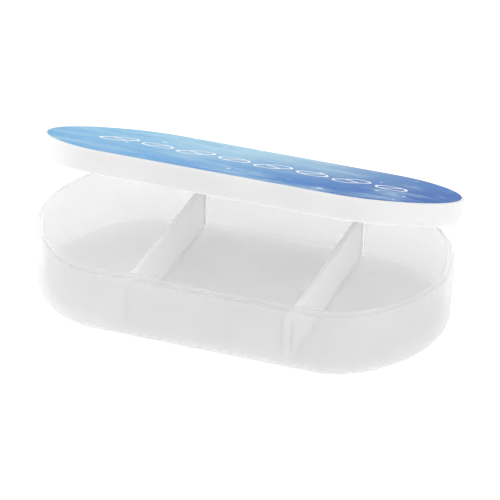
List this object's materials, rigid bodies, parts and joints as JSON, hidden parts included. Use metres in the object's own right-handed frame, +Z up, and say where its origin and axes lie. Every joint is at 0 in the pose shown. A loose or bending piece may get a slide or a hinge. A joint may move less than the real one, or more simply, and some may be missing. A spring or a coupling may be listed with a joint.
{
  "type": "pill box",
  "caption": "Oval pocket pill box: translucent tray with slide-in cross dividers and a labelled lid that turns on hinge pins along the back.",
  "frame": {"origin": "centre of the tray's flat underside", "axes": "+X along the box's length, +Y towards the hinge, +Z up"},
  "size_m": [0.0904, 0.0586, 0.0385],
  "materials": {
    "tray_plastic": "frosted translucent natural polypropylene",
    "divider_plastic": "frosted translucent natural polypropylene",
    "lid_plastic": "frosted white polypropylene, slightly glossier on top",
    "label_film": "printed film, pale sky to deeper water blue, gloss",
    "pin_steel": "drawn stainless wire"
  },
  "bodies": {
    "tray_body": {"tray": "tray_plastic", "left_divider": "divider_plastic", "right_divider": "divider_plastic", "hinge_pin_left": "pin_steel", "hinge_pin_right": "pin_steel"},
    "lid_body": {"lid": "lid_plastic", "lid_label": "label_film"}
  },
  "joints": [
    {"name": "lid_hinge", "type": "hinge", "parent": "tray_body", "child": "lid_body", "pos_m": [0, 0.0297, 0.0111], "axis": [-1, 0, 0], "range_deg": [-21.5, 158.5]}
  ]
}
